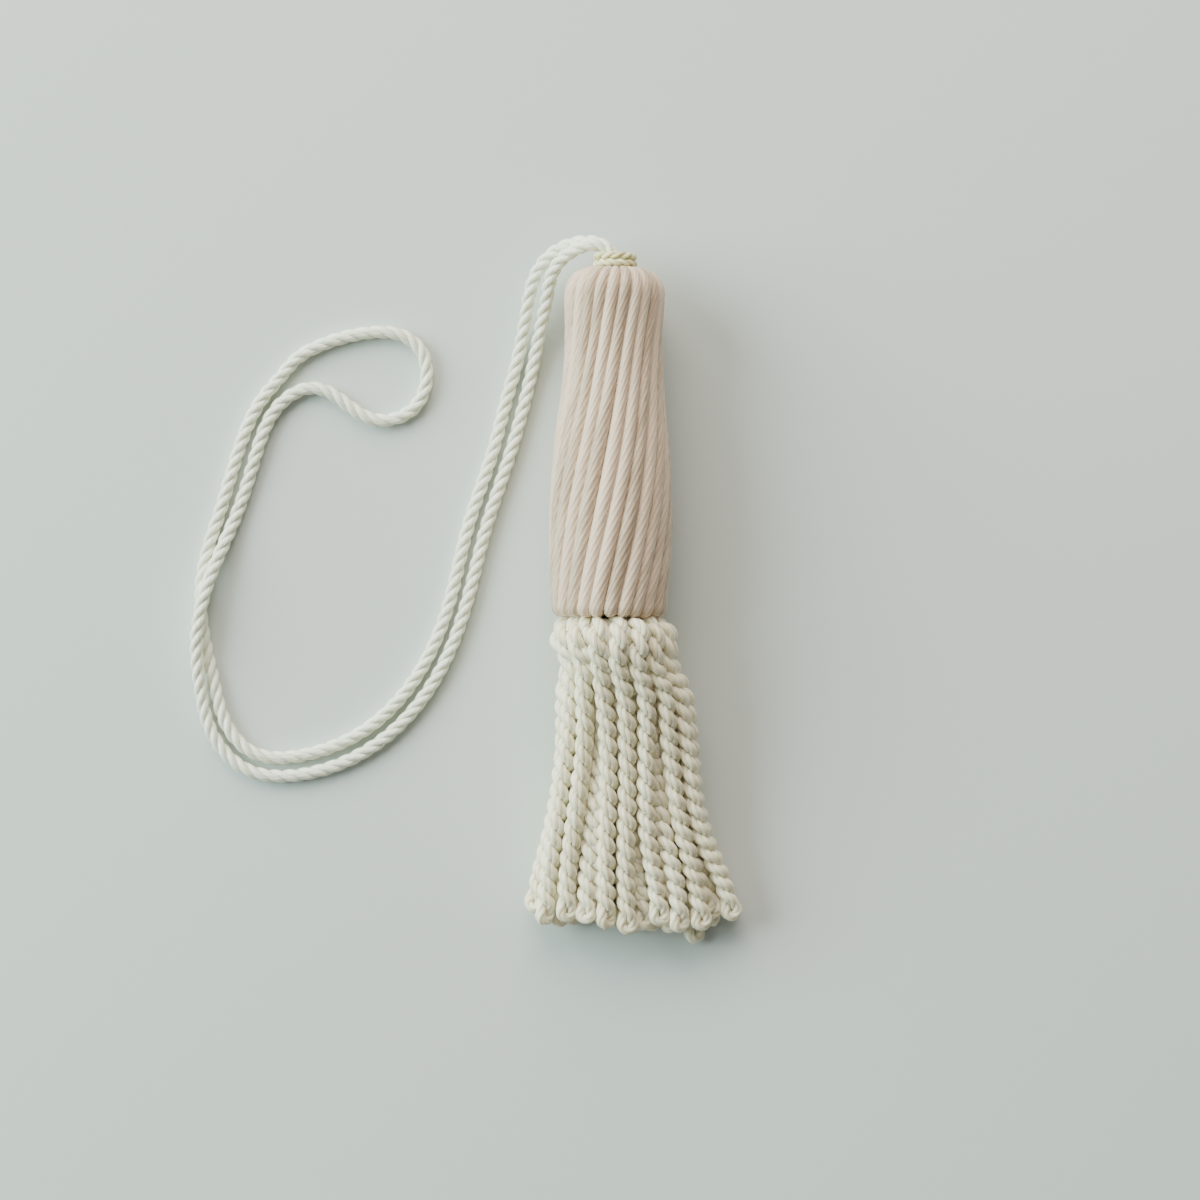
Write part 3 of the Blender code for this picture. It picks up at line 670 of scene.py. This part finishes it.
def turned_shell(profile, columns):
    """A surface turned about the head's axis from (y, radius) rows."""
    phi = -WHOLE_TURN * np.arange(columns) / columns
    y = np.broadcast_to(profile[:, :1], (len(profile), columns))
    r = profile[:, 1:]
    points = np.stack([AXIS_X + r * np.cos(phi), y, AXIS_Z + r * np.sin(phi)], axis=2)
    fibre = np.full(y.shape, SHADE_SHEET_FIBRES_ROUND)
    length = y / SHADE_SHEET_FIBRE_LENGTH
    grain = np.stack([fibre * np.cos(phi), fibre * np.sin(phi), length], axis=2)
    return {"points": points, "grain": grain, "tone_and_shade": np.zeros(y.shape)}


# ---------------------------------------------------------------- ruff


def ring_path(radius, y, count):
    """A closed ring round the head's axis."""
    return round_axis(AXIS_X, radius, y, WHOLE_TURN * np.arange(count + 1) / count)


def make_ruff():
    """Two rows of straw-coloured cord, one on the other, each of two twisted plies."""
    straw = thread_material("ruff_silk", RUFF_LIGHT, RUFF_DARK, uneven=0.1)
    height = RUFF_HIGH[1] - RUFF_LOW[1]
    outer = (RUFF_HIGH[0] - RUFF_LOW[0]) / 2
    rows = []
    for level, hand, phase in RUFF_ROWS:
        y = RUFF_LOW[1] + level * height
        centre = ring_path(outer - RUFF_ROW_INSET, y, RUFF_ROW_POINTS)
        pitch = arc_length(centre)[-1] / RUFF_TURNS
        rows += plies(centre, 2, RUFF_PLY_OFFSET, RUFF_PLY_R, pitch, hand, phase)
    for level in RUFF_FILLING_LEVELS:
        y = RUFF_LOW[1] + level * height
        inner = ring_path(outer - RUFF_FILLING_INSET, y, RUFF_FILLING_POINTS)
        rows.append(tube(inner, RUFF_FILLING_R, columns=8))
    ruff = mesh_piece("ruff_plait", rows, straw)
    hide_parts("ruff")
    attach(ruff, "head")


# ---------------------------------------------------------------- hanging cord


def pair_side(side):
    """One strand of the doubled cord, offset from the pair's middle by the pair's turn."""
    middle = np.array([row[:3] for row in PAIR_ROUTE])
    along = np.gradient(middle, axis=0)
    along[0] = EXIT_DIRECTION
    across = unit(np.column_stack([-along[:, 1], along[:, 0], np.zeros(len(middle))]))
    half = np.array([row[3] for row in PAIR_ROUTE])
    turn = np.radians([row[4] for row in PAIR_ROUTE])
    up = np.array([0.0, 0.0, 1.0])
    offset = np.cos(turn)[:, None] * across + np.sin(turn)[:, None] * up
    return middle + side * half[:, None] * offset


def mouth_side(side):
    """The last stretch inside the ruff of one strand, up to the exit."""
    half = side * PAIR_ROUTE[0][3]
    return np.array([(x, y, AXIS_Z + half) for x, y in TAIL_ROUTE[4:-1]])


def cord_plies(centre, **look):
    """The cord's three plies round its middle line."""
    return plies(centre, 3, CORD_PLY_OFFSET, CORD_PLY_R, CORD_PITCH, 1, CORD_PHASE, **look)


def make_hanging_cord():
    """One thin three-ply cord, doubled: out, round the end loop and back."""
    out = np.vstack([mouth_side(-1), pair_side(-1)])
    back = np.vstack([mouth_side(1), pair_side(1)])[::-1]
    loop = np.array([(x, y, CORD_R) for x, y in LOOP_ROUTE])
    route = np.vstack([out, loop, back]) + np.array([AXIS_X, 0.0, 0.0])
    centre = natural_spline(route, step=0.4 * MM)
    silk = thread_material(
        "cord_silk", CORD_LIGHT, CORD_DARK, roughness=0.5, glow=0.5, uneven=0.06
    )
    cord = mesh_piece("hanging_cord_rope", cord_plies(centre, **CORD_YARNS), silk)
    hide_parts("hanging_cord")
    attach(cord, "cord")


def make_cord_tail():
    """The doubled cord down through the head, with its stop knot under the washer."""
    silk = bpy.data.materials["cord_silk"]
    half = PAIR_ROUTE[0][3]
    strands = []
    for side in (-1, 1):
        knots = [(AXIS_X + x, y, AXIS_Z + side * half) for x, y in TAIL_ROUTE[:-3]]
        centre = natural_spline(knots, step=0.5 * MM)
        strands += cord_plies(centre, columns=CORD_TAIL_COLUMNS)
    knot_y = (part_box("stop_washer")[0][1] + TAIL_ROUTE[0][1]) / 2 + KNOT_RISE
    turn = np.linspace(0, KNOT_TURNS * WHOLE_TURN, KNOT_POINTS)
    reach = KNOT_REACH + KNOT_SWING * np.cos(KNOT_WAVES * turn)
    knot = round_axis(AXIS_X, reach, knot_y + KNOT_LIFT * np.sin(KNOT_WAVES * turn), turn)
    strands += cord_plies(knot, columns=CORD_TAIL_COLUMNS)
    tail = mesh_piece("cord_tail_rope", strands, silk)
    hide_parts("cord_tail")
    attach(tail, "cord")


# ---------------------------------------------------------------- skirt


def axis_of(node, hinge_y, end_y, levels=9):
    """The middle line of a strand's CAD solid, read by cutting its mesh level by level."""
    mesh = frame["nodes"][node].data
    verts = np.empty(3 * len(mesh.vertices))
    mesh.vertices.foreach_get("co", verts)
    verts = verts.reshape(-1, 3)
    edges = np.empty(2 * len(mesh.edges), int)
    mesh.edges.foreach_get("vertices", edges)
    start, end = verts[edges.reshape(-1, 2)].transpose(1, 0, 2)
    low = np.minimum(start[:, 1], end[:, 1])
    high = np.maximum(start[:, 1], end[:, 1])
    centres = []
    for level in np.linspace(hinge_y, end_y, levels):
        cut = (low < level) & (high > level)
        share = (level - start[cut, 1]) / (end[cut, 1] - start[cut, 1])
        crossing = start[cut] + share[:, None] * (end[cut] - start[cut])
        centres.append((crossing.min(axis=0) + crossing.max(axis=0)) / 2)
    return np.array(centres)


def folded_ply(axis, tilt):
    """One ply laid down the strand, round the loop at its end, and back up the other side.

    The loop lies level, or tilted by the given angle about the strand.
    """
    along, side, up = turning_frames(axis)
    run = arc_length(axis)
    pitch = np.interp(run / run[-1], [0.5, 1.0], [STRAND_PITCH, STRAND_END_PITCH])
    laid = np.clip((run[-1] - run) / LOOP_LENGTH, 0.0, 1.0)
    flat = np.cross(along[-1], (0.0, 0.0, 1.0))
    end_turn = math.atan2(np.dot(flat, up[-1]), np.dot(flat, side[-1])) + tilt
    turns = np.cumsum(np.gradient(run) / pitch * laid)
    turn = end_turn + WHOLE_TURN * (turns[-1] - turns)
    shift = np.cos(turn)[:, None] * side + np.sin(turn)[:, None] * up
    reach = STRAND_PLY_OFFSET + (LOOP_R - STRAND_PLY_OFFSET) * (1.0 - laid) ** 2
    offset = reach[:, None] * shift
    bend = np.linspace(0, math.pi, LOOP_POINTS)[1:-1, None]
    nose = axis[-1] + np.cos(bend) * offset[-1] + np.sin(bend) * LOOP_R * along[-1]
    path = np.vstack([axis + offset, nose, (axis - offset)[::-1]])
    return resampled(path, step=0.32 * MM)


def over_the_heading(hinge, rows):
    """Points from under the rim, over the heading, down towards a strand's hanging point."""
    r, y = np.array(rows).T
    return round_axis(HEADING_X, r, y, math.atan2(hinge[2] - AXIS_Z, hinge[0] - HEADING_X))


def strand_tube(knots, top_rows, yarns):
    """The folded ply of one strand, from under the rim to the loop at its end."""
    top = over_the_heading(knots[0], top_rows)
    axis = natural_spline(np.vstack([top, knots]), step=0.4 * MM)
    path = folded_ply(axis, RNG.uniform(-LOOP_TILT, LOOP_TILT))
    path[:, 2] = np.maximum(path[:, 2], LEAST_HEIGHT * STRAND_PLY_R)
    wave = np.sin(arc_length(path) / STRAND_SWELL_LENGTH + any_phase())
    girth = 1.0 + STRAND_SWELL * wave
    return tube(path, STRAND_PLY_R * girth, **yarns)


def some_rows(part, rows, shrink=1.0):
    """The part of a tube made of the given rings, drawn in towards its middle line."""
    points = part["points"][rows]
    middle = points.mean(axis=1, keepdims=True)
    points = middle + np.asarray(shrink).reshape(-1, 1, 1) * (points - middle)
    return {"points": points, "grain": part["grain"][rows], "tone_and_shade": part["tone_and_shade"][rows]}


def hinge_rows(part, hinge_y):
    """The first and last ring of a folded ply that are below the strand's hanging point."""
    below = np.nonzero(part["points"].mean(axis=1)[:, 1] < hinge_y)[0]
    return below[0], below[-1]


def make_swinging_strand(node, shape, hinge_y, silk):
    """The free part of an outer strand as a piece of its own; gives back its two tops."""
    number = node[-2:]
    first, last = hinge_rows(shape, hinge_y + ROOT_RISE)
    rows = slice(first - ROOT_RINGS, last + ROOT_RINGS + 1)
    shrink = np.ones(last - first + 1 + 2 * ROOT_RINGS)
    shrink[:ROOT_RINGS] = ROOT_SHARE
    shrink[-ROOT_RINGS:] = ROOT_SHARE
    piece = mesh_piece(f"bullion_{number}", [some_rows(shape, rows, shrink)], silk)
    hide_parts(node)
    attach(piece, f"strand_{number}")
    return [some_rows(shape, slice(0, first + 1)), some_rows(shape, slice(last, None))]


def make_skirt():
    """Bullion strands: each a ply twisted back on itself, with a small loop at its end.

    Their turned-over tops stay on the head as the skirt's heading; each outer strand swings below.
    """
    silk = thread_material("skirt_silk", SKIRT_LIGHT, SKIRT_DARK, roughness=0.46, glow=0.5)
    hinges = {joint["child"]: joint["pos_m"] for joint in frame["joints"] if "pos_m" in joint}
    hinge_y = hinges["strand_01"][1]
    inside = ((INNER_TOP_R, hinge_y + INNER_TOP_RISE),)
    inner_tubes, inner_nodes, tops, outer_axes = [], [], [], []
    for node in sorted(name for name in frame["nodes"] if name.startswith("strand_")):
        end_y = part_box(node)[0][1] + STRAND_END_RISE
        knots = axis_of(node, hinge_y - 0.2 * MM, end_y)
        if int(node[-2:]) > OUTER_STRANDS:
            inner_tubes.append(strand_tube(knots, inside, INNER_YARNS))
            inner_nodes.append(node)
            continue
        outer_axes.append(knots)
        shape = strand_tube(knots, TOP_ROUTE, OUTER_YARNS)
        tops += make_swinging_strand(node, shape, hinge_y, silk)
    for knots in between_axes(np.array(outer_axes)):
        inner_tubes.append(strand_tube(knots, inside, INNER_YARNS))
    inner = mesh_piece("bullion_inner", inner_tubes, silk)
    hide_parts(*inner_nodes)
    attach(inner, "head")
    tops += filler_tops()
    collar = mesh_piece("skirt_collar", tops, silk)
    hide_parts("skirt_heading")
    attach(collar, "head")


def between_axes(outer):
    """Middle lines of the strands seen behind the outer ones: between each two, further in."""
    heart = outer.mean(axis=0)
    halfway = outer.shape[1] // 2
    lean = outer[:, halfway] - heart[halfway]
    outer = outer[np.argsort(np.arctan2(lean[:, 2], lean[:, 0]))]
    between = (outer + np.roll(outer, -1, axis=0)) / 2
    inward = heart - between
    inward[:, :, 1] = 0.0
    inward = unit(inward)
    end = np.linspace(0.0, 1.0, outer.shape[1])[None, :, None]
    shorter = RNG.uniform(*BEHIND_SHORTER, len(outer))[:, None, None]
    raised = shorter * end * (0.0, 1.0, 0.0)
    return between + BEHIND * inward + raised


def filler_tops():
    """The second row of the heading: turned-over strand tops seen between the first row's."""
    r, y = np.array(SECOND_TOP_ROUTE).T
    twist = (STRAND_PLY_OFFSET, STRAND_PLY_R, STRAND_PITCH, -1)
    tops = []
    for i in range(OUTER_STRANDS):
        uneven = RNG.uniform(-TOP_SPACING_ERROR, TOP_SPACING_ERROR)
        angle = WHOLE_TURN * (i + 0.5 + uneven) / OUTER_STRANDS
        axis = natural_spline(round_axis(HEADING_X, r, y, angle), step=0.4 * MM)
        tops += plies(axis, 2, *twist, any_phase(), **OUTER_YARNS)
    return tops


# ---------------------------------------------------------------- carried-over parts


def finish_cad_parts():
    """Parts inside the head keep their CAD shape and get their own finish."""
    finishes = {
        "wooden_mould": wood_material(),
        "stop_washer": leather_material(),
        "heading_tape": woven_material(*WEBBING),
        "heading_thread": woven_material(*BINDING),
    }
    for node, material in finishes.items():
        for slot in frame["nodes"][node].material_slots:
            slot.material = material


# ---------------------------------------------------------------- stage


def make_stage():
    """A plain pale floor, wide soft lights from the left and the top, and the view from above."""
    material, _, _, shader = new_material("pale_floor", 0.9)
    shader.inputs["Base Color"].default_value = (*FLOOR_COLOUR, 1.0)
    shader.inputs["Specular IOR Level"].default_value = 0.1
    mesh = bpy.data.meshes.new("floor")
    signs = ((-1, -1), (1, -1), (1, 1), (-1, 1))
    corners = [(FLOOR_HALF * x, FLOOR_HALF * y, 0.0) for x, y in signs]
    mesh.from_pydata(corners, [], [(0, 1, 2, 3)])
    mesh.materials.append(material)
    floor = bpy.data.objects.new("floor", mesh)
    bpy.context.scene.collection.objects.link(floor)

    world = bpy.data.worlds.new("soft_sky")
    world.use_nodes = True
    sky = world.node_tree.nodes["Background"]
    sky.inputs["Color"].default_value = (*SKY_COLOUR, 1.0)
    sky.inputs["Strength"].default_value = SKY_STRENGTH
    bpy.context.scene.world = world

    for name, place, width, watts, colour in LAMPS:
        lamp_data = bpy.data.lights.new(name, "AREA")
        lamp_data.shape = "DISK"
        lamp_data.size = width
        lamp_data.energy = watts
        lamp_data.color = colour
        lamp = bpy.data.objects.new(name, lamp_data)
        lamp.location = place
        lamp.rotation_euler = (-Vector(place)).to_track_quat("-Z", "Y").to_euler()
        bpy.context.scene.collection.objects.link(lamp)

    camera_data = bpy.data.cameras.new("camera")
    camera_data.lens = LENS_MM
    camera_data.sensor_width = SENSOR_MM
    camera_data.clip_start = 0.01
    camera = bpy.data.objects.new("camera", camera_data)
    height = VIEW_WIDTH * LENS_MM / SENSOR_MM
    camera.location = (CAMERA_X, CAMERA_Y, VIEW_PLANE_Z + height)
    camera.rotation_euler = (0.0, 0.0, CAMERA_ROLL)
    bpy.context.scene.collection.objects.link(camera)
    bpy.context.scene.camera = camera


make_stage()
make_hanging_cord()
make_cord_tail()
make_skirt()
make_head()
make_ruff()
finish_cad_parts()
